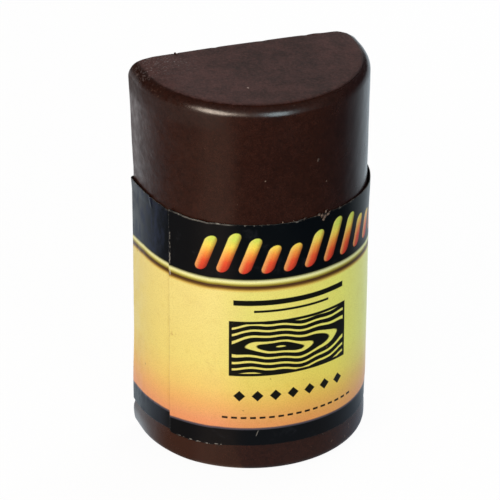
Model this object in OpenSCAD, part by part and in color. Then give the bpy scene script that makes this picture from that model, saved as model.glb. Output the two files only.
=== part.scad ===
// Half-round stick of soft filler wax, standing on its end, in a paper label.
// The round front faces -Y and the flat back, the open face of the casting, faces +Y.
// The origin lies on the standing surface, under the middle of the bounding box.

/* [Wax stick] */
// Height of the stick
stick_h = 56; // [50:0.1:80]
// Width of the stick at its waist, under the label
stick_w = 32; // [24:0.5:44]
// Straight flank from the end of the round front to the flat back, at the waist
flank_d = 2.5; // [1:0.1:8]
// Moulded round edge of the top face
top_round = 2.4; // [0.8:0.1:4]
// Moulded round edge of the bottom face
bottom_round = 1.3; // [0.6:0.1:2.5]
// Width over which the top falls off to each flank
shoulder_w = 4.2; // [2:0.1:8]
// How far the top falls off there
shoulder_drop = 0.7; // [0.3:0.1:2]

/* [Flare and heel] */
// How far the front and the flanks flare out by the top's round edge
top_flare = 0.3; // [0.05:0.05:0.8]
// How far the flat back stands out at the top, where the wax crept up the mould
top_heel = 0.6; // [0.1:0.05:1.5]
// How far the front and the flanks flare out by the bottom's round edge
bottom_flare = 0.12; // [0.04:0.02:0.4]
// How far the flat back stands out at the bottom
bottom_heel = 0.6; // [0.1:0.05:1]
// Upright waist above the label, before the stick flares to the top
waist_over = 1.9; // [0.5:0.1:6]
// Upright waist below the label, before the stick flares to the bottom
waist_under = 0.2; // [0.1:0.1:1]

/* [Label] */
// Height of the label
label_h = 33.9; // [20:0.1:38]
// Bare wax below the label
label_z = 4.2; // [3:0.1:7]
// Thickness of the paper
paper_t = 0.12; // [0.08:0.01:0.3]
// Film of glue between the wax and the paper
glue_t = 0.04; // [0.02:0.01:0.1]
// Width of the lap, where the paper is glued to itself
lap_w = 6; // [3:0.5:12]
// Direction of the paper's outer end, in degrees to the left of straight ahead
lap_turn = 62; // [40:1:80]

/* [Hidden] */
// Radius of the round front
front_r = stick_w / 2;
// Heights between which the stick keeps its waist
waist_low = label_z - waist_under;
waist_high = label_z + label_h + waist_over;
// Reach of the flat back behind the centre of the round front
back_reach = flank_d + max(top_heel, bottom_heel);
// Reach of the round front ahead of that centre
front_reach = front_r + max(top_flare, bottom_flare, glue_t + paper_t);
// Shift that brings the middle of the bounding box over the origin
centre_shift = (front_reach - back_reach) / 2;
// Radius of the arc in which the top falls off at a shoulder
shoulder_r = (shoulder_w ^ 2 + shoulder_drop ^ 2) / (2 * shoulder_drop);
// Radius of the paper's outer face
paper_out = front_r + glue_t + paper_t;
// Angle that the lap takes up round the front
lap_arc = lap_w / paper_out * 180 / PI;
// The lap's outer face is an arc set off towards the paper's end. It stands one more
// thickness of paper proud there and runs out at the far side of the lap.
lap_offset = paper_t / (1 - cos(lap_arc));
lap_r = paper_out + paper_t - lap_offset;
// Sides of a circle, and of the wide arc of the lap
round_fn = 180;
lap_fn = 1440;

// Direction to the left of straight ahead
function ahead(turn) = [-sin(turn), -cos(turn)];

// Side view of a wall that is upright at the waist and flares straight to both ends.
// It stands out by top_rise at the height of top, and by bottom_rise at bottom.
module wall_view(reach, top, top_rise, bottom, bottom_rise) {
    polygon([
        [0, 0],
        [reach + bottom_rise, 0],
        [reach + bottom_rise, bottom],
        [reach, waist_low],
        [reach, waist_high],
        [reach + top_rise, top],
        [reach + top_rise, stick_h],
        [0, stick_h]
    ]);
}

// What a round edge takes off a square corner that points right and up
module corner_waste(r) {
    difference() {
        square(2 * r);
        circle(r, $fn = round_fn);
    }
}

// What the shoulder takes off the same corner
module shoulder_waste() {
    translate([front_r + top_flare - shoulder_w, stick_h - shoulder_r])
        difference() {
            translate([0, shoulder_r - 2 * shoulder_drop])
                square([2 * shoulder_w, 4 * shoulder_drop]);
            circle(shoulder_r, $fn = round_fn);
        }
}

// Half of the stick's front view: flared wall and round edges, from the middle line out
module half_profile() {
    difference() {
        wall_view(front_r, stick_h - top_round, top_flare, bottom_round, bottom_flare);
        translate([front_r + top_flare - top_round, stick_h - top_round])
            corner_waste(top_round);
        translate([front_r + bottom_flare - bottom_round, bottom_round])
            mirror([0, 1])
                corner_waste(bottom_round);
    }
}

// The round front, turned half round
module front_half() {
    rotate([0, 0, 180])
        rotate_extrude(angle = 180, $fn = round_fn)
            half_profile();
}

// The straight flanks behind it, as deep as the ends of the flat back
module flanks() {
    for (side = [0, 1])
        mirror([side, 0, 0])
            translate([0, back_reach, 0])
                rotate([90, 0, 0])
                    linear_extrude(back_reach)
                        half_profile();
}

// Slab that holds the stick between its round front and its flat back
module behind_front() {
    translate([-2 * front_reach, 0, 0])
        rotate([90, 0, 90])
            linear_extrude(4 * front_reach)
                union() {
                    wall_view(flank_d, stick_h, top_heel, 0, bottom_heel);
                    translate([-2 * front_reach, 0])
                        square([2 * front_reach, stick_h]);
                }
}

// Air over the two shoulders
module over_shoulders() {
    for (side = [0, 1])
        mirror([side, 0, 0])
            translate([0, 2 * back_reach, 0])
                rotate([90, 0, 0])
                    linear_extrude(2 * (back_reach + front_reach))
                        shoulder_waste();
}

// One casting of wax
module wax_stick() {
    color([0.22, 0.14, 0.12])
        translate([0, centre_shift, 0])
            difference() {
                intersection() {
                    union() {
                        front_half();
                        flanks();
                    }
                    behind_front();
                }
                over_shoulders();
            }
}

// Plan of the stick's waist, grown by a gap on all sides
module waist_plan(grow) {
    intersection() {
        circle(front_r + grow, $fn = round_fn);
        translate([-front_r - grow, -front_r - grow])
            square([2 * (front_r + grow), front_r + grow]);
    }
    translate([-front_r - grow, 0])
        square([2 * (front_r + grow), flank_d + grow]);
}

// Plan of the lap, which stands proud at the paper's outer end
module lap_plan() {
    intersection() {
        translate(lap_offset * ahead(lap_turn))
            circle(lap_r, $fn = lap_fn);
        polygon([
            [0, 0],
            2 * paper_out * ahead(lap_turn),
            2 * paper_out * ahead(lap_turn - 2 * lap_arc)
        ]);
    }
}

// One strip of paper, wound once round the stick and glued to itself
module label() {
    color([0.93, 0.84, 0.45])
        translate([0, centre_shift, label_z])
            linear_extrude(label_h)
                difference() {
                    union() {
                        waist_plan(glue_t + paper_t);
                        lap_plan();
                    }
                    waist_plan(glue_t);
                }
}

wax_stick();
label();
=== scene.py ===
import math
from functools import partialmethod
import bpy
import bmesh
import numpy as np
from mathutils import Matrix, Quaternion, Vector, noise


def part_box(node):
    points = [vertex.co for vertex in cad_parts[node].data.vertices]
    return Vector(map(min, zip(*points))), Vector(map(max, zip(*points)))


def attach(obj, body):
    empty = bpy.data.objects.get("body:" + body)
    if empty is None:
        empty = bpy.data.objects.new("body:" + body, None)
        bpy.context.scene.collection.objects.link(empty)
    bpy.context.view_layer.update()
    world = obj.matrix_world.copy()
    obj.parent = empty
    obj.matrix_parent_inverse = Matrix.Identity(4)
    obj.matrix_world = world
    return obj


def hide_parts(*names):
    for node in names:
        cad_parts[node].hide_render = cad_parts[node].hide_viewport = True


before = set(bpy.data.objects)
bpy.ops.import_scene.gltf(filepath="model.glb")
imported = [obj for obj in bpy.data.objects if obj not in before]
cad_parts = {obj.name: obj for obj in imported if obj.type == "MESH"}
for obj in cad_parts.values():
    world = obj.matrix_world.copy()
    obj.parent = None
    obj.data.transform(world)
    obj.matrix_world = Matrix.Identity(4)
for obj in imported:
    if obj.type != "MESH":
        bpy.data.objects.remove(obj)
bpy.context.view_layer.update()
mm = 0.001
waxLow, waxHigh = [np.array(corner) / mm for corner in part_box("wax_stick")]
labelLow, labelHigh = [np.array(corner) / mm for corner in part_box("label")]
print("frame loaded:", sorted(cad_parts))


class Wire:
    # a socket that takes part in expressions: each operator adds one Math node
    def __init__(self, shader, socket):
        self.shader, self.socket = shader, socket

    def calc(self, operation, *values):
        return self.shader.maths(operation, self, *values)

    def __rsub__(self, other):
        return self.shader.maths("SUBTRACT", other, self)

    __add__ = __radd__ = partialmethod(calc, "ADD")
    __mul__ = __rmul__ = partialmethod(calc, "MULTIPLY")
    __sub__ = partialmethod(calc, "SUBTRACT")
    __truediv__ = partialmethod(calc, "DIVIDE")
    __pow__ = partialmethod(calc, "POWER")
    __neg__ = partialmethod(calc, "MULTIPLY", -1.0)
    __abs__ = partialmethod(calc, "ABSOLUTE")


class Shader:
    # the node tree of one material, or of the world
    def __init__(self, owner):
        owner.use_nodes = True
        self.owner, self.tree = owner, owner.node_tree
        self.tree.nodes.clear()

    @classmethod
    def material(cls, name):
        return cls(bpy.data.materials.new(name))

    def node(self, kind, settings=None, sockets=None, out=0):
        made = self.tree.nodes.new(kind)
        for key, value in (settings or {}).items():
            if key == "stops":
                ramp = made.color_ramp
                while len(ramp.elements) < len(value):
                    ramp.elements.new(0.5)
                for element, (place, colour) in zip(ramp.elements, value):
                    element.position = place
                    element.color = (*colour, 1.0)
            else:
                setattr(made, key, value)
        for key, value in (sockets or {}).items():
            if isinstance(value, Wire):
                self.tree.links.new(value.socket, made.inputs[key])
            elif isinstance(value, tuple) and len(value) == 3 and made.inputs[key].type == "RGBA":
                made.inputs[key].default_value = (*value, 1.0)
            else:
                made.inputs[key].default_value = value
        return Wire(self, made.outputs[out])

    def maths(self, operation, *values):
        return self.node("ShaderNodeMath", {"operation": operation}, dict(enumerate(values)))

    def most(self, first, *others):
        for other in others:
            first = self.maths("MAXIMUM", first, other)
        return first

    def reach(self, across, up, acrossWeight=1.0, upWeight=1.0):
        # distance from where both are 0, the weights squash it to an ellipse
        return (across * across * acrossWeight + up * up * upWeight) ** 0.5

    def blend(self, factor, first, second, way="MIX"):
        return self.node("ShaderNodeMix", {"data_type": "RGBA", "blend_type": way},
                         {0: factor, 6: first, 7: second}, 2)

    def coats(self, colour, tones, **masks):
        # lays named colours over each other, each through its mask
        for name, mask in masks.items():
            colour = self.blend(mask, colour, tones[name])
        return colour

    def tint(self, factor, colour, by):
        return self.blend(factor, colour, self.blend(1.0, colour, by, "MULTIPLY"))

    def ramp(self, value, stops):
        return self.node("ShaderNodeValToRGB", {"stops": stops}, {0: value})

    def rise(self, value, low, high):
        # 0 below low, 1 above high, smooth between
        return self.node("ShaderNodeMapRange", {"interpolation_type": "SMOOTHSTEP"},
                         {"Value": value, "From Min": low, "From Max": high})

    def fall(self, value, low, high):
        return 1 - self.rise(value, low, high)

    def inside(self, distance, soft=0.05):
        return self.fall(distance, -soft, soft)

    def band(self, value, low, high, soft=0.05):
        return self.rise(value, low - soft, low + soft) * self.fall(value, high - soft, high + soft)

    def repeat(self, value, row):
        # number of the repeat that a place lies in, and the distance from its middle
        step = (value - row["first"]) / row["pitch"]
        cell = step.calc("FLOOR")
        return cell, (step - cell - 0.5) * row["pitch"]

    def cloud(self, place, scale, detail=3.0, rough=0.55, warp=0.0):
        return self.node("ShaderNodeTexNoise", {}, {
            "Vector": place, "Scale": scale, "Detail": detail, "Roughness": rough, "Distortion": warp})

    def bump(self, height, distance, strength=1.0, under=None):
        sockets = {"Height": height, "Distance": distance, "Strength": strength}
        if under:
            sockets["Normal"] = under
        return self.node("ShaderNodeBump", {}, sockets)

    def split(self, vector):
        return [self.node("ShaderNodeSeparateXYZ", {}, {0: vector}, axis) for axis in "XYZ"]

    def join(self, x, y, z):
        return self.node("ShaderNodeCombineXYZ", {}, {0: x, 1: y, 2: z})

    def place(self):
        # where the shaded point lies, in millimetres
        at = self.node("ShaderNodeTexCoord", out="Object")
        return self.node("ShaderNodeVectorMath", {"operation": "SCALE"}, {0: at, "Scale": 1000.0})

    def lookUp(self):
        # 1 where the surface faces up, 0 where it is upright
        return self.split(self.node("ShaderNodeNewGeometry", {}, {}, "Normal"))[2]

    def close(self, shader, kind="ShaderNodeOutputMaterial"):
        self.tree.links.new(shader.socket, self.tree.nodes.new(kind).inputs["Surface"])
        return self.owner

    def finish(self, **sockets):
        # a space in a socket's name is written as an underscore
        return self.close(self.node("ShaderNodeBsdfPrincipled", {}, {
            key.replace("_", " "): value for key, value in sockets.items()}))


def linear(red, green, blue):
    # a colour picked in 0 to 255 screen values
    def one(value):
        value /= 255
        return value / 12.92 if value <= 0.04045 else ((value + 0.055) / 1.055) ** 2.4
    return (one(red), one(green), one(blue))


def linearStops(stops):
    return [(place, linear(*shade)) for place, shade in stops]


def addObject(name, data):
    made = bpy.data.objects.new(name, data)
    bpy.context.scene.collection.objects.link(made)
    return made


def meshObject(name, points, faces, materials):
    mesh = bpy.data.meshes.new(name)
    mesh.from_pydata([tuple(p) for p in points], [], faces)
    for material in materials:
        mesh.materials.append(material)
    return addObject(name, mesh)


def meshPiece(name, points, faces, materials, smooth=True, faceMaterials=None):
    # points in millimetres, in the frame of the CAD model
    piece = meshObject(name, np.asarray(points) * mm, faces, materials)
    polygons = piece.data.polygons
    polygons.foreach_set("use_smooth", [smooth] * len(polygons))
    if faceMaterials is not None:
        polygons.foreach_set("material_index", faceMaterials)
    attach(piece, "root")
    return piece


def gridFaces(rows, columns, offset=0):
    index = np.arange(rows * columns).reshape(rows, columns) + offset
    quads = np.stack([index[:-1, :-1], index[:-1, 1:], index[1:, 1:], index[1:, :-1]], -1)
    return quads.reshape(-1, 4).tolist()


def spots(points, scale, seed=0.0):
    # coherent noise at each point, -1 to 1
    return np.array([noise.noise(Vector(p) / scale + Vector((seed, seed, seed))) for p in points])


def layered(points, layers):
    return sum(height * spots(points, size, seed) for size, height, seed in layers)


def ease(value, low, high):
    t = np.clip((value - low) / (high - low), 0, 1)
    return t * t * (3 - 2 * t)


wax = {
    "height": waxHigh[2],
    "radius": 16.0,
    "flank": 2.5,
    "waist": (4.0, 40.0),
    "leftFlare": 0.46,
    "rightFlare": 0.14,
    "footFlare": 0.12,
    "sideFoot": 0.08,  # what the foot flares out more at the sides
    "heel": 0.58,
    "rim": 1.6,  # round edge of the top
    "foot": 1.3,  # round edge of the bottom
    "slope": 0.045,  # the top falls towards the front
    "crown": 0.1,  # and stands up in the middle of the back
    # where the top starts to fall off sideways, and on what radius
    "leftShoulder": (12.2, 14.0),
    "rightShoulder": (12.9, 17.0),
    "backEdge": 0.3,  # round edge of the poured back
    "rightCorner": 1.6,  # the same round edge at the top's right corner
    "hollow": 0.22,  # shrinkage in the middle of the back, and ripples on it
    "ripples": 0.05,
    # noise: the size, the height and the seed of each layer
    "waves": ((7.0, 0.05, 0.0), (2.2, 0.022, 5.0)),
    "lumps": ((0.9, 0.09, 9.0), (0.45, 0.05, 3.0)),
    "leftFoot": 0.16,  # the foot bulges at the left, and tucks in under that
    # columns round the front, rows of each stretch of wall, how far in the top's rings go
    "columns": 161,
    "footRows": 10,
    "wallRows": 76,
    "rimRows": 13,
    "topRows": 9,
    "ringsTo": 5.4,
    # small damage to the top's back edge: place across, width and depth
    "nicks": ((-9.75, 0.2, 0.13), (10.2, 0.7, -0.07), (8.9, 0.3, 0.05), (2.6, 0.5, 0.03), (-4.1, 0.35, 0.04)),
}
# how far the round front, its flare included, reaches ahead of its centre line
frontReach = 16.3
centreY = waxLow[1] + frontReach


def topHeight(x, y):
    shoulders = zip(wax["leftShoulder"], wax["rightShoulder"])
    start, bend = (np.where(x < 0, left, right) for left, right in shoulders)
    over = np.maximum(np.abs(x) - start, 0)
    crown = wax["crown"] * (1 - (x / 12) ** 2) * ease(y, -6, 3)
    return (wax["height"] - wax["crown"] + crown + wax["slope"] * (y - wax["flank"] - wax["heel"])
            - (bend - np.sqrt(np.maximum(bend ** 2 - over ** 2, 0))))


def wallFlare(z):
    # shares of the upper and of the lower flare, and how far the back stands out
    low, high = wax["waist"]
    up = np.clip((z - high) / (wax["height"] - wax["rim"] - high), 0, 1)
    down = 1 - (1 - np.clip((low - z) / (low - wax["foot"]), 0, 1)) ** 4
    heel = wax["heel"] * (np.clip((z - high) / (wax["height"] - high), 0, 1) + np.clip((low - z) / low, 0, 1))
    return up, down, heel


def waxPoint(turn, flankShare, z, inset):
    # turn runs over the round front, flankShare over the straight flank behind it
    up, down, heel = wallFlare(z)
    side = np.sin(turn) * 0.5 + 0.5
    reach = (wax["radius"] + (wax["leftFlare"] * (1 - side) + wax["rightFlare"] * side) * up
             + (wax["footFlare"] + wax["sideFoot"] * ease(np.abs(side - 0.5), 0.2, 0.45)) * down - inset)
    return np.stack([reach * np.sin(turn),
                     -reach * np.cos(turn) + flankShare * (wax["flank"] + heel),
                     z + 0 * turn], -1)


def waxWall():
    # rows of points from the foot to the flat of the top, round the front and both flanks
    flankShares = 1 - np.array([0, 0.025, 0.055, 0.11, 0.25, 0.5, 0.75])
    arc = np.linspace(-math.pi / 2, math.pi / 2, wax["columns"])
    ends = np.full(len(flankShares), math.pi / 2)
    turn = np.concatenate([-ends, arc, ends])
    share = np.concatenate([flankShares, 0 * arc, flankShares[::-1]])
    foot, rim = wax["foot"], wax["rim"]
    rows = [waxPoint(turn, share, 0 * turn, foot)]
    for angle in np.linspace(-math.pi / 2, 0, wax["footRows"])[1:]:
        z = foot * (1 + math.sin(angle)) + 0 * turn
        rows.append(waxPoint(turn, share, z, foot * (1 - math.cos(angle))))
    edge = waxPoint(turn, share, wax["height"] - rim + 0 * turn, 0)
    crest = topHeight(edge[:, 0], edge[:, 1]) - rim
    for upShare in np.linspace(0, 1, wax["wallRows"])[1:]:
        rows.append(waxPoint(turn, share, foot + upShare * (crest - foot), 0))
    for angle in np.linspace(0, math.pi / 2, wax["rimRows"])[1:]:
        ring = waxPoint(turn, share, crest, rim * (1 - math.cos(angle)))
        ring[:, 2] = topHeight(ring[:, 0], ring[:, 1]) - rim * (1 - math.sin(angle))
        rows.append(ring)
    for inset in np.linspace(rim, wax["ringsTo"], wax["topRows"])[1:]:
        ring = waxPoint(turn, share, crest, inset)
        ring[:, 2] = topHeight(ring[:, 0], ring[:, 1])
        rows.append(ring)
    return np.stack(rows)


def closeWall(wall):
    # adds the back, between the two ends of every row
    across = np.concatenate([[0, 0.003, 0.007, 0.014], np.linspace(0.03, 0.97, wall.shape[1] - 8),
                             [0.986, 0.993, 0.997, 1]])
    back = wall[:, :1] * (1 - across)[None, :, None] + wall[:, -1:] * across[None, :, None]
    back[-1, :, 2] = topHeight(back[-1, :, 0], back[-1, :, 1])
    patches = [wall, back]
    # and the flat parts of the top and the bottom, from the back line to the innermost ring
    along = np.concatenate([[0, 0.004, 0.009, 0.02], np.linspace(0.05, 1, 22)])
    for ring, isTop in ((wall[-1], True), (wall[0], False)):
        line = ring[0] * (1 - across)[:, None] + ring[-1] * across[:, None]
        patch = line[None] * (1 - along)[:, None, None] + ring[None] * along[:, None, None]
        if isTop:
            patch[..., 2] = topHeight(patch[..., 0], patch[..., 1])
        patches.append(patch)
    faces, start = [], 0
    for patch in patches:
        rows, columns = patch.shape[:2]
        faces += gridFaces(rows, columns, start)
        start += rows * columns
    return np.concatenate([patch.reshape(-1, 3) for patch in patches]), faces


def softenBack(points):
    # rounds the edge between the back and everything round it
    x, y, z = points.T.copy()
    backY = wax["flank"] + wallFlare(z)[2]
    toBack = backY - y
    flankX = np.abs(waxPoint(np.sign(x) * math.pi / 2, 0 * x, z, 0)[:, 0])
    toSide = np.where(y > -0.01, flankX - np.abs(x), 9)
    toTop = topHeight(x, y) - z
    toLine = np.minimum(np.minimum(toSide, toTop), z)
    nearest = np.argmin(np.stack([toSide, toTop, z]), 0)
    normal = np.zeros_like(points)
    normal[nearest == 0, 0] = np.sign(x[nearest == 0])
    normal[nearest == 1, 2] = 1
    normal[nearest == 2, 2] = -1
    for toEnd, radius, up in ((toTop, wax["rim"], 1), (z, wax["foot"], -1)):
        deep = np.hypot(radius - toSide, radius - toEnd)
        use = (toSide < radius) & (toEnd < radius) & (deep > 1e-6)
        toLine = np.where(use, radius - deep, toLine)
        normal[use] = np.stack([np.sign(x) * (radius - toSide) / np.maximum(deep, 1e-6), 0 * x,
                                up * (radius - toEnd) / np.maximum(deep, 1e-6)], -1)[use]
    toLine = np.maximum(toLine, 0)
    extra = (wax["rightCorner"] - wax["backEdge"]) * ease(x, 13.3, 15.4) * ease(z, 44.0, 52.0)
    edge = wax["backEdge"] + extra
    near = (toBack < edge) & (toLine < edge)
    length = np.hypot(edge - toBack, edge - toLine)
    scale = np.minimum(np.where(near, edge / np.maximum(length, 1e-9), 1), 1)
    newBack = edge - (edge - toBack) * scale
    newLine = edge - (edge - toLine) * scale
    points[:, 1] -= np.where(near, newBack - toBack, 0)
    points -= normal * np.where(near, newLine - toLine, 0)[:, None]
    return backY, toBack, toTop


def castingMarks(points, backY, toBack, toTop):
    # soft unevenness all over, with lumps at the upper left
    x, y, z = points.T.copy()
    outward = np.stack([x, np.where(y < 0, y, 0), 0 * z], -1)
    outward /= np.maximum(np.linalg.norm(outward, axis=1), 1e-6)[:, None]
    shift = layered(points, wax["waves"])
    lumps = np.exp(-((x + 14.2) / 2.6) ** 2 - ((y - 0.5) / 3.0) ** 2) * ease(z, 52, 54.5)
    shift = shift + lumps * layered(points, wax["lumps"])
    keep = ease(z, 0.0, 3.0)
    onBack = np.where(np.abs(backY - y) < 0.05, 0.3, 1)
    points[:, :2] += (outward * (shift * keep)[:, None])[:, :2] * onBack[:, None]
    # the foot at the left
    bulge = wax["leftFoot"] * np.exp(-((z - 3.3) / 1.1) ** 2) - wax["leftFoot"] * (1 - ease(z, 0.4, 2.2))
    points[:, :2] += (outward * (ease(-x, 12.0, 15.0) * bulge)[:, None])[:, :2]
    points[:, 2] += np.where(toTop < wax["rim"], 1, 0) * (0.04 * spots(points, 6.0, 2.0)
                                                         + lumps * 0.1 * spots(points, 0.8, 4.0))
    # a hollow in the back, with ripples
    hollow = wax["hollow"] * ease(16 - np.abs(x), 0, 9) * ease(z, 1, 12) * ease(wax["height"] - z, 1, 12)
    ripple = wax["ripples"] * spots(points * np.array([1, 1, 0.35]), 3.0, 7.0)
    points[:, 1] -= np.where(toBack < 0.02, hollow + ripple * ease(16 - np.abs(x), 0, 2), 0)
    for nickX, width, depth in wax["nicks"]:
        fromBack = ((y - backY + 0.1) / 0.45) ** 2
        dent = np.exp(-((x - nickX) / width) ** 2 - fromBack) * np.where(toTop < 1.0, 1, 0)
        points[:, 2] -= depth * dent
        points[:, 1] -= np.maximum(depth, 0) * dent
    points[:, 2] = np.maximum(points[:, 2], 0)


def buildWax(material):
    points, faces = closeWall(waxWall())
    castingMarks(points, *softenBack(points))
    points[:, 1] += centreY
    piece = meshPiece("waxBody", points, faces, [material])
    form = bmesh.new()
    form.from_mesh(piece.data)
    bmesh.ops.remove_doubles(form, verts=form.verts, dist=3e-7)
    bmesh.ops.dissolve_degenerate(form, edges=form.edges, dist=1e-8)
    bmesh.ops.recalc_face_normals(form, faces=form.faces)
    form.to_mesh(piece.data)
    form.free()
    return piece


# colours of the wax, in 0 to 255 screen values
waxTones = {
    "dark": (38, 15, 8),
    "light": (44, 19, 11),
    "grain": (62, 36, 27),
    "bloom": (79, 50, 47),
    "sides": (70, 52, 48),
    # a painted bluish sheen over the right side of the wax
    "rightSide": (27, 20, 26),
    "scuff": (134, 126, 126),
    "crust": (112, 84, 70),
    "footLeft": (58, 32, 22),
    "specks": (110, 86, 72),
    "mote": (170, 150, 142),
}


def waxMaterial():
    s = Shader.material("waxFinish")
    tone = {name: linear(*shade) for name, shade in waxTones.items()}
    place = s.place()
    x, y, z = s.split(place)
    lookUp = s.lookUp()
    broad = s.cloud(place, 0.09, 2)
    patch = s.cloud(place, 0.35, 4, 0.6)
    grain = s.cloud(place, 2.4, 3, 0.6)
    dust = s.cloud(place, 5.5, 2, 0.7)
    body = s.blend(s.rise(broad * 0.6 + patch * 0.4, 0.32, 0.68), tone["dark"], tone["light"])
    # greyish bloom: on the top face, and a little along the flanks and the back
    ragged = 0.16 * (s.cloud(place, 1.3, 4, 0.7) - 0.5) * s.rise(-x, 4.0, 10.0)
    onTop = s.rise(lookUp + ragged, 0.9, 0.985) * s.rise(z, 50.0, 53.0)
    bloom = 0.6 + 0.28 * s.rise(-x, 0.0, 12.0) + 0.1 * s.rise(x, 4.0, 12.0)
    bloom = bloom + 1.7 * (patch - 0.5) + 1.5 * (grain - 0.5)
    sides = s.rise(y, 5.0, 9.0) * s.rise(patch, 0.35, 0.7) * (1 - onTop)
    # painted sheen: the right side turns bluish grey, as a grazing reflection would make it look
    rightSide = s.rise(x, 2.0, 14.0) * (1 - onTop) * s.rise(z, 6.0, 12.0)
    body = s.coats(body, tone, grain=s.rise(grain, 0.45, 0.75) * 0.14, bloom=onTop * bloom,
                   sides=sides * 0.35, rightSide=rightSide * 0.5)
    fleck = 1 + 1.5 * (s.cloud(place, 3.6, 3, 0.75) - 0.5) + 0.9 * (s.cloud(place, 1.1, 3, 0.6) - 0.5)
    body = s.blend(1.0, body, fleck, "MULTIPLY")
    # pale scuffs and a crust of dust at the upper left
    chalk = s.cloud(place, 3.4, 2, 0.6)
    upperLeft = s.rise(-x, 7.0, 10.5) * s.rise(z, 52.0, 54.0) * s.rise(y, 1.0, 7.0) * s.rise(lookUp, 0.4, 0.7)
    scuff = upperLeft * s.rise(chalk, 0.56, 0.68) * s.rise(patch, 0.34, 0.5)
    crust = s.rise(-x, 13.0, 14.4) * s.rise(y, -1.0, 1.5) * s.band(z, 53.9, 55.2, 0.3)
    footLeft = s.rise(-x, 6.0, 14.0) * s.fall(z, 6.0, 10.0)
    # specks all over and at the foot, and one pale mote on the top
    specks = s.rise(s.cloud(place, 1.7, 1, 0.4), 0.78, 0.82) * s.rise(dust, 0.5, 0.6)
    atFoot = s.rise(s.cloud(place, 2.1, 1, 0.4), 0.72, 0.76) * s.fall(z, 3.6, 4.6) * s.rise(x, 2.0, 8.0)
    mote = onTop * s.fall(s.reach(x + 3.87, y + 3.08, 1.0, 0.4), 0.08, 0.17)
    body = s.coats(body, tone, scuff=scuff * 0.6, crust=crust * s.rise(chalk, 0.6, 0.7) * 0.4,
                   footLeft=footLeft * 0.8, specks=s.most(specks, atFoot) * 0.5, mote=mote * 0.8)
    # the round edge shines like a coat, the top and the left side are dull
    onRim = s.rise(lookUp, 0.12, 0.3) * s.fall(lookUp, 0.75, 0.92) * s.rise(z, 52.0, 53.5)
    onRim = onRim * s.fall(x, 3.0, 9.0) * s.fall(-x, 10.5, 12.5)
    coat = onRim * (0.72 + 0.9 * (grain - 0.5) + 0.5 * (dust - 0.5))
    underRim = s.rise(-x, 7.0, 11.0) * s.rise(z, 50.8, 52.6) * s.fall(lookUp, 0.1, 0.3)
    leftSide = s.rise(-x, 10.5, 14.5) * s.rise(z, 30.0, 38.0)
    rough = 0.2 + 0.2 * underRim + 0.12 * patch + 0.32 * onTop + 0.2 * scuff
    rough = rough + leftSide * (0.1 + 0.5 * (s.cloud(place, 0.9, 3, 0.6) - 0.5))
    normal = s.bump(grain, 0.00003, 0.16 + 0.5 * onTop)
    normal = s.bump(s.cloud(place, 0.8, 3), 0.0001, 0.25 + 0.45 * leftSide, normal)
    return s.finish(Base_Color=body, Roughness=rough, Normal=normal, IOR=1.45, Specular_IOR_Level=0.5,
                    Coat_Weight=coat, Coat_Roughness=0.3, Coat_IOR=1.7)


waxBody = buildWax(waxMaterial())
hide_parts("wax_stick")
print("wax built:", len(waxBody.data.vertices), "points")

label = {
    "foot": round(labelLow[2], 1),
    "top": round(labelHigh[2], 1),
    "paper": 0.12,
    "glue": 0.04,
    "fold": 0.3,  # radius of the wax's back corners under the paper
    "end": -17.4,  # where the outer end lies, along the front from its middle
    "lap": 6.1,
    # the mesh's columns: start, end and step along the strip, fine at the creases
    "columns": ((0.75, 9.0, 0.3), (9.0, 42.6, 0.35), (42.6, 44.95, 0.3), (44.95, 45.7, 0.09),
                (45.7, 76.2, 0.8), (76.2, 77.2, 0.12), (77.2, 80.2, 0.25), (80.2, 86.0, 0.13)),
    "cutTop": 0.07,  # unevenness of the cut edges and of the whole sheet
    "cutFoot": 0.04,
    "waves": 0.05,
    "bentCorner": 0.16,  # the outer end's lower corner is bent up by this
}
outerFace = label["glue"] + label["paper"]
arcLength = math.pi / 2 * (wax["radius"] + outerFace)
flankLength = wax["flank"] - label["fold"]
foldLength = math.pi / 2 * (label["fold"] + outerFace)
backLength = 2 * (wax["radius"] - label["fold"])
foldEnd = arcLength + flankLength + foldLength
girth = 2 * foldEnd + backLength
stripLength = girth + label["lap"]


def outlinePoint(along, offset):
    # along: distance from the middle of the front to the right, round the stick
    t = (along + girth / 2) % girth - girth / 2
    side = np.sign(t) + (t == 0)
    run = np.abs(t)
    radius, fold, flank = wax["radius"], label["fold"], wax["flank"]
    angle = np.clip(run / arcLength, 0, 1) * math.pi / 2
    foldAngle = np.clip((run - arcLength - flankLength) / foldLength, 0, 1) * math.pi / 2
    stretch = [run <= arcLength, run <= arcLength + flankLength, run <= foldEnd]
    nx = np.select(stretch, [np.sin(angle), 1.0, np.cos(foldAngle)], 0.0)
    ny = np.select(stretch, [-np.cos(angle), 0.0, np.sin(foldAngle)], 1.0)
    baseX = np.select(stretch, [radius * np.sin(angle), radius, radius - fold + fold * np.cos(foldAngle)],
                      radius - fold - (run - arcLength - flankLength - foldLength))
    baseY = np.select(stretch, [-radius * np.cos(angle), run - arcLength,
                                flank - fold + fold * np.sin(foldAngle)], flank)
    point = np.stack([side * (baseX + nx * offset), baseY + ny * offset, 0 * t], -1)
    return point, np.stack([side * nx, ny, 0 * t], -1)


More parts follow.
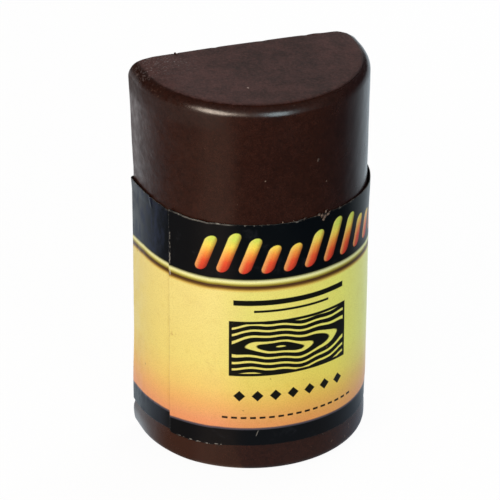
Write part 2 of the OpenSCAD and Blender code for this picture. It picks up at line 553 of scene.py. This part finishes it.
# heights of the paper's edges and printed lines, round the strip from its outer end
wander = {
    4.2: ((0, 4.05), (0.7, 3.97), (4.4, 3.97), (7.4, 4.02), (10.4, 4.2), (17.4, 4.26), (26, 4.1), (34, 4.05),
          (45, 4.2), (62, 4.25), (77, 4.45), (82, 4.5), (84.7, 4.42), (88.1, 4.36), (94.2, 4.3)),
    6.95: ((0, 6.57), (1.6, 6.68), (4.2, 6.78), (10.2, 6.85), (17.4, 6.92), (22, 6.87), (26, 6.78),
           (34, 6.62), (45, 6.75), (62, 7.0), (78, 7.2), (81, 7.42), (84.7, 7.33), (88.1, 7.18), (94.2, 7.0)),
    29.75: ((0, 29.93), (3.4, 29.76), (6.8, 29.66), (10.0, 29.66), (17.4, 29.72), (24, 29.74), (30.9, 29.55),
            (36, 29.4), (45, 29.5), (62, 29.8), (78, 30.1), (80, 30.35), (82, 30.5), (84.7, 30.3),
            (88.1, 30.06), (94.2, 29.9)),
    38.1: ((0, 38.3), (3.3, 38.0), (6.8, 37.92), (17.4, 37.9), (22.2, 38.04), (28, 37.95), (34, 37.72),
           (45, 37.8), (62, 38.2), (77, 38.7), (81, 38.8), (83.8, 38.66), (84.6, 38.46), (86.4, 38.24),
           (88.0, 37.9), (94.2, 37.75)),
}


def paperHeight(along, printed):
    # printed: height on the flat strip
    levels = sorted(wander)
    heights = np.stack([np.interp(along, *zip(*wander[level])) for level in levels])
    out = np.zeros_like(along)
    for i in range(len(levels) - 1):
        low, high = levels[i], levels[i + 1]
        share = np.clip((printed - low) / (high - low), 0, 1)
        use = (printed >= low) if i else np.ones_like(printed, bool)
        out = np.where(use, heights[i] * (1 - share) + heights[i + 1] * share, out)
    return out


def paperLift(along, printed):
    # how far the paper stands off the wax
    t = along + label["end"]
    t = np.where(t > girth / 2, t - girth, t)
    top = label["top"]
    leftCorner = 0.05 * ease(printed, 25.0, top) ** 1.6 * ease(-t, 24.4, 26.8) * (1 - ease(-t, 28.0, 39.0))
    leftLow = 0.2 * (1 - ease(printed, 6.0, 15.0)) * ease(-t, 19.0, 24.5) * (1 - ease(-t, 29.0, 37.0))
    atRight = ease(t, 12.0, 19.0) * (1 - ease(t, 27.0, 37.0))
    rightLow = 0.15 * ease(printed, 4.4, 9.0) * (1 - ease(printed, 29.0, 35.0)) * atRight
    rightSide = 0.3 * ease(printed, 28.0, top) ** 1.3 * ease(t, 11.0, 19.0) * (1 - ease(t, 27.0, 37.0))
    bothBack = 0.06 * ease(np.abs(t), 30, 40)
    outerEnd = 0.05 * (1 - ease(along, 0, 0.9))
    overLap = (label["paper"] + 0.02) * (1 - ease(along, label["lap"] - 0.1, label["lap"] + 1.6))
    # a crease in the top edge of the under layer, at the left
    fold = (printed - 36.4) / 1.7
    line = t + 21.45 - 0.35 * (1 - np.clip(fold, 0, 1))
    crease = 0.2 * np.exp(-(line / 0.22) ** 2) + 0.13 * (1 - ease(line, -0.1, 0.25)) * ease(-t, 20, 24.5)
    crease = np.where(along > girth / 2, np.clip(fold, 0, 1) * crease, 0)
    return leftCorner + leftLow + rightSide + rightLow + bothBack + outerEnd + overLap + crease


def bakeMap(mesh, loops, w, p, splitW, counts):
    # packs the faces of the outer side, the inner side and the cut edges for baking
    outerCount, innerCount, edgeCount = counts
    margin = 0.01
    # shares of the map for a millimetre of each side, and for the cells of the cut edges
    perAlong, perUp = 0.0188, 0.0142
    innerFrom, innerUp, innerAlong = 0.925, 0.002, 0.0099
    edgeFrom, edgeStep, edgeWidth = 0.001, 0.002, 0.0016
    uv = np.zeros((len(loops), 2))
    for face, polygon in enumerate(mesh.polygons):
        span = range(polygon.loop_start, polygon.loop_start + polygon.loop_total)
        ws, ps = w[loops[span]], p[loops[span]] - label["foot"]
        if face < outerCount:
            second = ws.mean() >= splitW
            uv[span, 0] = margin + (ws - splitW * second) * perAlong
            uv[span, 1] = margin + 0.5 * second + ps * perUp
        elif face < outerCount + innerCount:
            uv[span, 0], uv[span, 1] = innerFrom + ps * innerUp, margin + ws * innerAlong
    # the cut edges: four thin columns of small cells
    cellUp = 0.97 / (edgeCount / 4 + 1)
    for k in range(edgeCount):
        polygon = mesh.polygons[outerCount + innerCount + k]
        left, bottom = edgeFrom + (k % 4) * edgeStep, margin + (k // 4) * cellUp
        for j, loop in enumerate(range(polygon.loop_start, polygon.loop_start + 4)):
            uv[loop] = (left + edgeWidth * (j in (1, 2)), bottom + 0.6 * cellUp * (j in (2, 3)))
    return uv


def buildLabel(paperPrint, paperCore):
    foot, top = label["foot"], label["top"]
    cuts = [0, 0.06, 0.15, 0.3, 0.5]
    for start, end, step in label["columns"] + ((86.0, stripLength - 0.3, 0.3),):
        cuts += list(np.arange(start, end - step * 0.4, step))
    cuts = np.array(cuts + [stripLength - 0.1, stripLength])
    levels = np.concatenate([[foot, 4.26, 4.36, 4.6], np.linspace(5.0, 35.2, 62), np.linspace(35.4, 37.7, 15),
                             [37.86, 37.98, 38.05, top]])
    w, p = np.meshgrid(cuts, levels)
    w, p = w.ravel(), p.ravel()
    lift = paperLift(w, p)
    # both edges are cut a little unevenly, and the outer end's lower corner is bent up
    ripple = np.array([noise.noise(Vector((a * 0.9, 0.0, 4.0)))
                       + 0.6 * noise.noise(Vector((a * 2.7, 1.0, 9.0))) for a in w])
    z = paperHeight(w, p)
    z = z + label["cutTop"] * ripple * ease(p, 36.5, top)
    z = z + label["cutFoot"] * ripple * (1 - ease(p, foot, 5.5))
    z = z + label["bentCorner"] * np.exp(-((w / 0.35) ** 2)) * np.exp(-(((p - foot) / 0.35) ** 2))
    wave = np.array([noise.noise(Vector((a * 0.16, b * 0.12, 2.0))) for a, b in zip(w, p)])
    layers = []
    for offset in (outerFace, label["glue"]):
        base, normal = outlinePoint(w + label["end"], offset)
        point = base + normal * (lift + label["waves"] * (wave + 0.3).clip(0, 1))[:, None]
        point[:, 2] = z
        layers.append(point)
    points = np.concatenate(layers)
    points[:, 1] += centreY
    rows, columns = len(levels), len(cuts)
    half = rows * columns
    outer = gridFaces(rows, columns)
    inner = [face[::-1] for face in gridFaces(rows, columns, half)]
    edges = []
    for line in (np.arange(columns), np.arange(columns)[::-1] + (rows - 1) * columns,
                 np.arange(rows)[::-1] * columns, np.arange(rows) * columns + columns - 1):
        edges += [[int(a + half), int(b + half), int(b), int(a)] for a, b in zip(line[:-1], line[1:])]
    which = [0] * len(outer) + [1] * (len(inner) + len(edges))
    piece = meshPiece("paperLabel", points, outer + inner + edges, [paperPrint, paperCore],
                      faceMaterials=which)
    # printUv holds the place on the flat strip, in units of 100 mm
    mesh = piece.data
    w, p = np.tile(w, 2), np.tile(p, 2)
    loops = np.array([loop.vertex_index for loop in mesh.loops])
    printUv = mesh.uv_layers.new(name="printUv")
    printUv.data.foreach_set("uv", np.stack([w[loops] / 100, p[loops] / 100], -1).ravel())
    bake = mesh.uv_layers.new(name="OFBake")
    splitW = cuts[np.argmin(np.abs(cuts - stripLength / 2))]
    uv = bakeMap(mesh, loops, w, p, splitW, (len(outer), len(inner), len(edges)))
    bake.data.foreach_set("uv", uv.ravel())
    mesh.uv_layers.active = printUv
    return piece


# colours of the print, in 0 to 255 screen values
inks = {
    # the field by height, as a share of the label's top: salmon and orange, then yellow
    "field": ((0.17, (234, 146, 102)), (0.215, (233, 160, 107)), (0.27, (237, 180, 106)),
              (0.34, (237, 204, 114)), (0.44, (236, 217, 124)), (0.60, (235, 218, 131)),
              (0.74, (236, 219, 134))),
    # the stripe under the upper band, by depth below the band
    "stripe": ((-0.1, (20, 20, 20)), (0.0, (85, 85, 45)), (0.3, (230, 230, 175)), (0.5, (235, 235, 155)),
               (0.8, (165, 150, 55)), (1.1, (65, 35, 20)), (1.4, (105, 75, 30)), (1.75, (215, 180, 80))),
    "black": (2, 6, 11),
    # the bands' black on the under layer, with a painted bluish sheen
    "blackUnderSheen": (12, 17, 30),
    "lilac": (84, 80, 92),
    "flame": ((0.0, (206, 58, 40)), (0.3, (228, 84, 46)), (0.55, (240, 150, 62)), (0.78, (240, 214, 84)),
              (1.0, (206, 220, 92))),
    "barLit": (246, 226, 130),
    "barShade": (112, 28, 20),
    "motifs": (15, 16, 9),
    "bare": (196, 192, 184),
    "stain": (176, 128, 60),
    "dots": (120, 88, 48),
    # a painted bluish sheen of the bands on the under layer, over a hazy ink
    "hazeAndSheen": (38, 48, 74),
    "hazeAndSheenLow": (30, 34, 50),
    "rub": (50, 52, 60),
}
# a painted shade and tint of the light: what multiplies the field from its outer end on, as a share of 40 mm:
# it turns greener to the right
paintedFieldTint = ((0.18, (0.75, 0.76, 0.79)), (0.29, (0.68, 0.75, 0.62)), (0.5, (0.73, 0.8, 0.54)),
             (0.63, (0.83, 0.97, 0.63)), (0.72, (0.83, 0.98, 0.8)), (0.85, (0.76, 0.92, 0.92)))
# motifs of the print, in millimetres of the flat strip
motif = {
    "bars": {"first": 3.6, "pitch": 3.05, "count": 11, "low": 31.6, "high": 34.9, "swing": 1.1, "wave": 1.2,
             "lean": 0.36, "half": 0.84},
    "plank": {"centre": (17.9, 19.3), "half": (8.9, 4.2)},
    "lozenges": {"first": 9.2, "pitch": 2.5, "count": 7, "height": 12.0, "half": 0.82},
    "rules": ((26.3, 9.6, 26.2, 0.4), (25.0, 12.4, 23.4, 0.18)),  # height, start, end and half the width
    "dashes": {"from": 7.6, "to": 28.4, "height": 8.6, "half": 0.16, "pitch": 1.3},
}


def fieldColour(s, w, p, flat, mottle):
    tone = (p + 0.9 * (mottle - 0.5) + s.rise(w, 70.0, 80.0) * 0.6) / label["top"]
    field = s.ramp(tone, linearStops(inks["field"]))
    # painted shade and tint by place round the stick, with an even multiplier over the back and the under
    # layer
    paintedTint = s.blend(s.rise(w, 60.0, 76.0), s.ramp(w / 40, paintedFieldTint), (0.77, 0.78, 0.79))
    field = s.blend(1.0, s.blend(1.0, field, paintedTint, "MULTIPLY"), (1.34, 1.34, 1.34), "MULTIPLY")
    freckle = s.rise(s.cloud(flat, 0.8, 4, 0.7), 0.52, 0.72)
    field = s.tint(freckle * 0.6, field, (0.92, 0.88, 0.78))
    return s.tint(s.rise(mottle, 0.46, 0.74) * 0.45, field, (0.92, 0.88, 0.9))


def bandBars(s, w, p):
    # slanting bars in the upper band, shaded as if they were round: their mask and their colour
    bars = motif["bars"]
    cell, across = s.repeat(w - bars["lean"] * (p - bars["low"]), bars)
    top = bars["high"] + bars["swing"] * (cell * bars["wave"] + 0.4).calc("SINE")
    past = s.most(p - top, bars["low"] - p, 0.0)
    bar = s.inside(s.reach(across, past) - bars["half"], 0.06) * s.band(cell, -0.5, bars["count"] - 0.5, 0.1)
    flame = s.ramp((p - 30.9) / 4.9, linearStops(inks["flame"]))
    flame = s.blend(s.rise(-across, -0.1, 0.85) * 0.4, flame, linear(*inks["barLit"]))
    return bar, s.blend(s.rise(across, 0.1, 0.95) * 0.75, flame, linear(*inks["barShade"]))


def fieldMotifs(s, w, p, mottle):
    # a plank with grain
    (centreW, centreP), (halfW, halfP) = motif["plank"]["centre"], motif["plank"]["half"]
    dw, dp = w - centreW, p - centreP
    outside = s.most(abs(dw) - halfW, abs(dp) - halfP)
    bow = dp + 0.35 * (dw * 0.42 + 0.6).calc("SINE") + 0.12 * (dw * 1.3).calc("SINE")
    rings = s.reach(bow, dw + 1.8, 1.0, 0.042) * 1.18 + 0.25 * (mottle - 0.5)
    grooves = s.rise(abs(rings - rings.calc("FLOOR") - 0.5), 0.29, 0.37)
    ink = s.inside(outside) * s.most(1 - grooves, s.fall(-outside, 0.38, 0.46))
    # a row of lozenges, two rules and a dashed line
    lozenges = motif["lozenges"]
    cell, across = s.repeat(w, lozenges)
    spread = abs(across) + abs(p - lozenges["height"])
    inRow = s.band(cell, -0.5, lozenges["count"] - 0.5, 0.1)
    ink = s.most(ink, s.inside(spread - lozenges["half"], 0.06) * inRow)
    for height, start, end, half in motif["rules"]:
        ink = s.most(ink, s.band(p, height - half, height + half) * s.band(w, start, end))
    dashes = motif["dashes"]
    step = w / dashes["pitch"]
    gap = abs(step - step.calc("FLOOR") - 0.5)
    line = s.band(p, dashes["height"] - dashes["half"], dashes["height"] + dashes["half"])
    return s.most(ink, line * s.band(w, dashes["from"], dashes["to"]) * s.fall(gap, 0.28, 0.34))


def wornInk(s, w, p, flat, fibre):
    # the ink is cracked off beside the outer end, rubbed at the cut edges and scratched
    crackW = w - 0.2 - 0.36 * (s.cloud(s.join(0.0, p, 3.0), 1.3, 2) - 0.5)
    crack = s.fall(abs(crackW), 0.03, 0.1) * s.band(p, 30.1, 34.7, 0.3)
    crack = crack * s.rise(s.cloud(flat, 1.1, 3), 0.42, 0.56) * 0.42
    crackLow = s.band(w, 0.14, 0.3, 0.06) * s.band(p, 28.4, 29.2, 0.15)
    cutEnd = s.fall(w, 0.0, 0.1) * s.rise(fibre, 0.52, 0.62)
    torn = s.band(w, 0.8, 9.4, 0.7) * (0.9 + 3.0 * (s.cloud(flat, 0.8, 3) - 0.5))
    cutTop = s.rise(p, 37.86, 38.0) * (s.rise(s.cloud(flat, 1.4, 3), 0.54, 0.64) + torn)
    cutLow = s.fall(p, 4.28, 4.4) * s.band(w, 1.2, 8.4, 0.3) * s.rise(s.cloud(flat, 1.6, 2), 0.5, 0.6)
    scratch = s.fall(abs(w - 12.9 - 0.35 * (p - 6.1)), 0.03, 0.09) * s.band(p, 5.75, 6.6, 0.1)
    return s.most(crack, crackLow * 0.6, cutEnd * 0.25, cutTop * 0.2, cutLow * 0.4, scratch * 0.25)


def printMaterial():
    # w runs along the flat strip from its outer end, p up it, both in millimetres
    s = Shader.material("paperPrint")
    ink = {name: linear(*shade) for name, shade in inks.items() if len(shade) == 3}
    w, p, _ = s.split(s.node("ShaderNodeUVMap", {"uv_map": "printUv"}))
    w, p = w * 100, p * 100
    flat = s.join(w, p, 0.0)
    mottle = s.cloud(flat, 0.22, 4, 0.6)
    fibre = s.cloud(flat, 3.2, 3, 0.65)
    fine = s.cloud(flat, 5.5, 2, 0.6)
    colour = fieldColour(s, w, p, flat, mottle)
    # the bands, and the stripe that shades off under the upper one
    inBand = s.rise(p, 29.82, 29.95)
    inLow = s.fall(p, 6.86, 7.0)
    onField = (1 - inBand) * (1 - inLow)
    bySeam = s.rise(w, 84.0, 88.0)
    # painted sheen: the black turns bluish on the under layer at the left, and back to plain black near the
    # seam
    black = s.blend(s.rise(w, 74.0, 82.0) * (1 - bySeam), ink["black"], ink["blackUnderSheen"])
    down = 29.84 - p
    span = 2.2
    stripe = s.ramp((down + 0.1) / span, [((depth + 0.1) / span, shade)
                                          for depth, shade in linearStops(inks["stripe"])])
    colour = s.blend(s.rise(down, -0.2, -0.1) * s.fall(down, 1.58, 2.02), colour, stripe)
    colour = s.blend(inBand, colour, black)
    colour = s.blend(inLow, colour, black)
    colour = s.blend(s.band(p, 6.72, 7.05, 0.08) * 0.8, colour, ink["lilac"])
    bar, flame = bandBars(s, w, p)
    colour = s.blend(bar, colour, flame)
    colour = s.coats(colour, ink, motifs=fieldMotifs(s, w, p, mottle))
    # grain of the paper and of the print
    colour = s.tint(0.8 * s.rise(fine, 0.4, 0.7), colour, (0.86, 0.85, 0.8))
    colour = s.tint(0.6 * s.rise(fibre, 0.5, 0.75), colour, (1.08, 1.08, 1.14))
    colour = s.tint(0.6 * s.fall(fibre, 0.25, 0.5), colour, (0.94, 0.93, 0.86))
    worn = wornInk(s, w, p, flat, fibre)
    # a spot and a streak of dirt, and dots
    spot = s.fall(s.reach(w - 0.4, p - 19.8, 0.25), 0.2, 1.3)
    streak = s.fall(s.reach(w - 6.5 + 0.9 * (p - 16.5), p - 16.5, 2.0, 0.12), 0.15, 0.9)
    stain = s.most(spot, streak) * s.rise(fibre * 0.5 + s.cloud(flat, 0.55, 4, 0.65) * 0.5, 0.48, 0.62)
    dots = s.rise(s.cloud(flat, 1.05, 1, 0.4), 0.77, 0.8) * onField
    colour = s.coats(colour, ink, bare=worn, stain=stain * onField * 0.45, dots=dots * 0.6)
    # the bands get a painted bluish sheen on the under layer, where their ink is also hazy and rougher, and
    # they are rubbed all round
    hazeAndSheen = s.rise(w, 74.0, 80.0) * (1 - 0.8 * bySeam)
    hazeAndSheen = hazeAndSheen * s.rise(s.cloud(s.join(w, p * 0.35, 0.0), 0.9, 4, 0.7), 0.42, 0.64)
    hazeAndSheenTone = s.blend(inLow, ink["hazeAndSheen"], ink["hazeAndSheenLow"])
    colour = s.blend(hazeAndSheen * 0.7 * s.most(inBand, inLow), colour, hazeAndSheenTone)
    rub = s.rise(s.cloud(flat, 0.4, 4, 0.7, 0.6), 0.56, 0.78) * s.most(inBand * (1 - bar), inLow)
    colour = s.blend(rub * 0.3, colour, ink["rub"])
    rough = 0.26 + 0.12 * mottle + 0.2 * worn + 0.06 * rub + 0.16 * hazeAndSheen
    normal = s.bump(fibre, 0.00002, 0.35, s.bump(fine, 0.000008, 0.6))
    return s.finish(Base_Color=colour, Roughness=rough, Normal=normal, IOR=1.5, Specular_IOR_Level=0.26)


def coreMaterial():
    # the paper's inner side and its cut edges, which are dark with glue but for clean spots
    s = Shader.material("paperCore")
    place = s.place()
    fibre = s.cloud(place, 3.0, 4, 0.7)
    clean = s.rise(s.cloud(place, 0.9, 3, 0.6), 0.5, 0.66) * s.rise(abs(s.lookUp()), 0.3, 0.6)
    colour = s.blend(clean * s.rise(fibre, 0.3, 0.6), linear(52, 48, 46), linear(132, 124, 114))
    return s.finish(Base_Color=colour, Roughness=0.75, Normal=s.bump(fibre, 0.00003, 0.5))


paperCore = coreMaterial()
paperLabel = buildLabel(printMaterial(), paperCore)
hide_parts("label")
print("label built:", len(paperLabel.data.vertices), "points")

# distance round the front, height, size and stretch in millimetres and turn in degrees
crumbs = ((1.9, 38.12, 0.2, 1.6, 20), (-1.2, 38.1, 0.16, 1.8, 70), (0.3, 38.16, 0.14, 1.5, 10),
          (4.2, 38.15, 0.36, 1.3, 40), (4.7, 37.9, 0.5, 1.3, 80), (5.15, 37.6, 0.46, 1.4, 60),
          (5.3, 38.3, 0.3, 1.7, 75), (5.7, 37.8, 0.34, 1.6, 30), (4.9, 37.2, 0.34, 1.2, 0),
          (6.0, 38.1, 0.16, 2.2, 15), (7.9, 38.15, 0.12, 1.5, 0), (-9.0, 37.98, 0.11, 2.2, 5),
          (-15.6, 38.0, 0.12, 2.4, -12), (3.9, 46.3, 0.3, 2.0, 72), (5.3, 42.8, 0.14, 1.4, 20),
          (-3.6, 44.4, 0.16, 1.5, 45), (-11.0, 50.0, 0.16, 1.2, 0))
# distance round the front, height and length in millimetres and turn in degrees
fibres = ((1.4, 38.08, 1.1, -12), (2.0, 38.1, 0.7, 25), (4.1, 38.2, 0.5, 30), (5.4, 38.35, 0.6, 80),
          (9.8, 38.05, 0.5, 10), (-15.9, 3.98, 0.45, 20), (-14.1, 3.93, 0.8, 0), (-12.9, 3.93, 0.6, -5),
          (-11.3, 3.95, 1.3, 3), (-9.9, 3.98, 0.5, 8), (5.4, 4.05, 0.5, -10), (9.4, 3.98, 0.7, -4))
# stand-off of the crumbs and the fibres, width of a fibre and place of the burr
litter = {"crumbOff": 0.2, "fibreOff": 0.05, "fibreWidth": 0.055, "burrAt": -9.8}


def frontSpot(along, height, offset, turn):
    # turns three distances, along and up the front and out of it, into a point there
    point, normal = outlinePoint(np.array([along]), offset)
    at, out = point[0], normal[0]
    at[1] += centreY
    at[2] = height
    side, up = np.array([-out[1], out[0], 0.0]), np.array([0, 0, 1])
    c, s = math.cos(math.radians(turn)), math.sin(math.radians(turn))
    return lambda a, b, d: at + side * (a * c - b * s) + up * (a * s + b * c) + out * d


def buildCrumbs(material):
    points, faces = [], []
    for number, (along, height, size, stretch, turn) in enumerate(crumbs):
        spot = frontSpot(along, height, litter["crumbOff"], turn)
        ball = bmesh.new()
        bmesh.ops.create_icosphere(ball, subdivisions=2, radius=1)
        first = len(points)
        for v in ball.verts:
            bulge = 1 + 0.45 * noise.noise(v.co * 1.6 + Vector((number * 3.1, 0, 0)))
            points.append(spot(v.co.x * size * stretch * bulge * 0.5, v.co.y * size * bulge * 0.5,
                               v.co.z * size * bulge * 0.32))
        faces += [[v.index + first for v in f.verts] for f in ball.faces]
        ball.free()
    return meshPiece("waxCrumbs", points, faces, [material])


def tubeFaces(base):
    # the four sides between a ring of four points and the next ring
    return [(base + k, base + (k + 1) % 4, base + 4 + (k + 1) % 4, base + 4 + k) for k in range(4)]


def buildFibres(material):
    points, faces = [], []
    steps = 7
    for number, (along, height, length, turn) in enumerate(fibres):
        spot = frontSpot(along, height, outerFace + litter["fibreOff"], turn)
        first = len(points)
        for i in range(steps):
            share = i / (steps - 1) - 0.5
            uneven = 1 + 0.3 * noise.noise(Vector((i * 0.9, number, 0)))
            width = litter["fibreWidth"] * (1.15 - (2 * share) ** 2) * uneven
            bend = 0.1 * math.sin(share * 5 + number)
            for k in range(4):
                angle = k * math.pi / 2
                points.append(spot(share * length, bend + width * math.cos(angle),
                                   width * math.sin(angle) * 0.6 + 0.02))
            if i:
                faces += tubeFaces(first + (i - 1) * 4)
        faces += [[first + 3, first + 2, first + 1, first], [first + (steps - 1) * 4 + k for k in range(4)]]
    return meshPiece("paperFibres", points, faces, [material])


def buildBurr(material):
    # a thin burr on the top's back edge, its corners given from a point on that edge
    at = np.array([litter["burrAt"], centreY + wax["flank"] + wax["heel"], wax["height"]])
    low = [(0.1, -1.4, -0.35), (0.34, -1.4, -0.35), (0.14, -0.12, -0.35), (-0.14, -0.12, -0.35)]
    high = [(0.14, -1.25, -0.13), (0.3, -1.25, -0.13), (0.1, -0.16, 0.04), (-0.1, -0.16, 0.04)]
    faces = [(3, 2, 1, 0), (4, 5, 6, 7)] + tubeFaces(0)
    return meshPiece("edgeBurr", at + np.array(low + high), faces, [material], False)


def crumbMaterial():
    s = Shader.material("waxCrumb")
    tone = s.cloud(s.place(), 2.0, 3)
    colour = s.blend(s.rise(tone, 0.35, 0.65), linear(58, 42, 35), linear(112, 94, 82))
    return s.finish(Base_Color=colour, Roughness=0.55, Normal=s.bump(tone, 0.00005, 0.4))


buildCrumbs(crumbMaterial())
buildBurr(waxBody.data.materials[0])
buildFibres(paperCore)
print("crumbs and fibres built")

# the camera, fitted to the photograph
view = {
    "elevation": 27.056, "azimuth": -19.951, "roll": 0.302, "away": 484.628,
    "target": (0.256, 0.591, 25.681),  # from the centre of the round front, in millimetres
    "lens": 252.0,
}
studio = {
    "floorGrey": 0.5,
    "floorGlow": 0.95,  # share of plain white in what the camera sees of the floor
    "skyGrey": 0.46,
    "aim": 0.04,  # height that the lamps point at, in metres
    "warmLamp": {"azimuth": -52.0, "elevation": 16.0, "away": 0.42, "size": (0.25, 0.2), "roll": -30.0,
                 "power": 1.2, "colour": (1.0, 0.84, 0.7)},
    "coolLamp": {"azimuth": 6.0, "elevation": 14.0, "away": 0.42, "size": (0.13, 0.24), "roll": 0.0,
                 "power": 0.44, "colour": (0.76, 0.94, 1.0)},
    "backLamp": {"azimuth": 126.0, "elevation": 18.0, "away": 0.5, "size": (0.3, 0.3), "roll": 0.0,
                 "power": 1.3, "colour": (0.97, 0.98, 1.0), "glossy": False},
}
# what a mirror image in the object shows of the floor and of the room
mirrored = {
    "front": (0.04, 0.045, 0.05),
    "frontNear": (0.22, 0.21, 0.22),
    "nearRight": (0.3, 0.36, 0.44),
    "lampPool": (0.5, 0.36, 0.29),
    "lampPoolSide": (0.2, 0.15, 0.13),
    "behind": (0.87, 0.86, 0.88),
    "behindNear": (0.8, 0.92, 1.0),
    "room": 0.03,
    "backdrop": 0.59,
}


def seenBy(s, kind):
    return s.node("ShaderNodeLightPath", {}, {}, "Is " + kind + " Ray")


def mirroredFloor(s):
    # pale behind the object and close to it, dark in front and with the warm lamp's pool at the left
    x, y, _ = s.split(s.place())
    a = math.radians(view["azimuth"])
    # degrees round the object, 0 towards the camera and positive to the right
    ahead, aside = x * math.sin(a) - y * math.cos(a), x * math.cos(a) + y * math.sin(a)
    around = aside.calc("ARCTAN2", ahead) * (180 / math.pi)
    away = s.reach(x, y)
    near, nearish = s.fall(away, 24.0, 50.0), s.fall(away, 75.0, 100.0)
    front = s.coats(mirrored["front"], mirrored, frontNear=near,
                    behindNear=near * s.rise(-around, 45.0, 80.0),
                    nearRight=near * s.rise(around, 55.0, 105.0),
                    lampPoolSide=s.rise(around, -100.0, -70.0) * s.fall(around, -55.0, -40.0),
                    lampPool=s.rise(around, -56.0, -42.0) * s.fall(around, -20.0, -15.0))
    back = s.blend(nearish, mirrored["behind"], mirrored["behindNear"])
    back = s.blend(s.rise(around, 0.0, 60.0), back, mirrored["behindNear"])
    return s.blend(s.most(s.rise(-around, 80.0, 138.0), s.rise(around, 100.0, 158.0)), front, back)


def buildFloor():
    # white to the camera but for the object's shadow
    s = Shader.material("floorFinish")
    glossy = seenBy(s, "Glossy")
    seen = s.most(seenBy(s, "Camera"), seenBy(s, "Transmission"))
    plain = s.blend(seen, (studio["floorGrey"],) * 3, (1.0, 1.0, 1.0))
    plain = s.node("ShaderNodeBsdfDiffuse", {}, {"Color": plain})
    glow = s.blend(glossy, (1.0, 1.0, 1.0), mirroredFloor(s))
    glow = s.node("ShaderNodeEmission", {}, {"Color": glow, "Strength": 1.0})
    share = s.most(seen * studio["floorGlow"], glossy)
    s.close(s.node("ShaderNodeMixShader", {}, {0: share, 1: plain, 2: glow}))
    # a disc of rings round the object
    rings, sides = (0.06, 0.15, 0.4, 1.0, 3.0), 48
    turns = [k * 2 * math.pi / sides for k in range(sides)]
    points = [(0, 0, 0)]
    for radius in rings:
        points += [(radius * math.cos(turn), radius * math.sin(turn), 0) for turn in turns]
    faces = [(0, 1 + k, 1 + (k + 1) % sides) for k in range(sides)]
    for ring in range(len(rings) - 1):
        for k in range(sides):
            a, b = 1 + ring * sides + k, 1 + ring * sides + (k + 1) % sides
            faces.append((a, a + sides, b + sides, b))
    floor = meshObject("floor", points, faces, [s.owner])
    floor.location.z = -0.00002  # just clear of the wax's foot


def buildWorld():
    # white to the camera, a dim room with a pale backdrop in mirror images, and grey light on the object
    world = bpy.data.worlds.new("studioWorld")
    bpy.context.scene.world = world
    s = Shader(world)
    seen = s.most(seenBy(s, "Camera"), seenBy(s, "Transmission"))
    a = math.radians(view["azimuth"])
    x, y, _ = s.split(s.node("ShaderNodeTexCoord", out="Generated"))
    away = y * math.cos(a) - x * math.sin(a)
    side = abs(x * math.cos(a) + y * math.sin(a))
    mirror = s.rise(away, 0.6, 0.86) * s.fall(side, 0.16, 0.42)
    mirror = mirrored["room"] + (mirrored["backdrop"] - mirrored["room"]) * mirror
    bright = s.most(seen, seenBy(s, "Glossy") * mirror)
    lit = s.most(seen, seenBy(s, "Glossy"))
    sky = s.node("ShaderNodeBackground", {}, {"Color": (1.0, 1.0, 1.0), "Strength": studio["skyGrey"]})
    white = s.node("ShaderNodeBackground", {}, {"Color": (1.0, 1.0, 1.0), "Strength": bright})
    s.close(s.node("ShaderNodeMixShader", {}, {0: lit, 1: sky, 2: white}), "ShaderNodeOutputWorld")


def direction(azimuth, elevation):
    # from the object, 0 degrees straight ahead of its round front and positive to the right
    a, e = math.radians(azimuth), math.radians(elevation)
    return Vector((math.sin(a) * math.cos(e), -math.cos(a) * math.cos(e), math.sin(e)))


def buildLamp(name, azimuth, elevation, away, size, roll, power, colour, glossy=True):
    lamp = bpy.data.lights.new(name, "AREA")
    lamp.shape = "RECTANGLE"
    lamp.size, lamp.size_y = size
    lamp.energy = power
    lamp.color = colour
    holder = addObject(name, lamp)
    towards = direction(azimuth, elevation)
    holder.location = Vector((0, 0, studio["aim"])) + towards * away
    turn = towards.to_track_quat("Z", "Y") @ Quaternion((0, 0, 1), math.radians(roll))
    holder.rotation_euler = turn.to_euler()
    holder.visible_glossy = glossy


def buildCamera():
    roll = math.radians(view["roll"])
    back = direction(view["azimuth"], view["elevation"])
    right = (-back).cross(Vector((0, 0, 1))).normalized()
    up = right.cross(-back)
    right, up = (math.cos(roll) * right + math.sin(roll) * up, -math.sin(roll) * right + math.cos(roll) * up)
    target = Vector(view["target"]) + Vector((0, centreY, 0))
    place = (target + back * view["away"]) * mm
    data = bpy.data.cameras.new("camera")
    data.lens = view["lens"]
    data.sensor_width = 36
    data.clip_start = 0.01
    camera = addObject("camera", data)
    camera.matrix_world = Matrix.Translation(place) @ Matrix((right, up, back)).transposed().to_4x4()
    bpy.context.scene.camera = camera


buildFloor()
buildWorld()
for name in ("warmLamp", "coolLamp", "backLamp"):
    buildLamp(name, **studio[name])
buildCamera()
print("floor, world, lamps and camera built")

bpy.context.scene.view_settings.view_transform = "Standard"
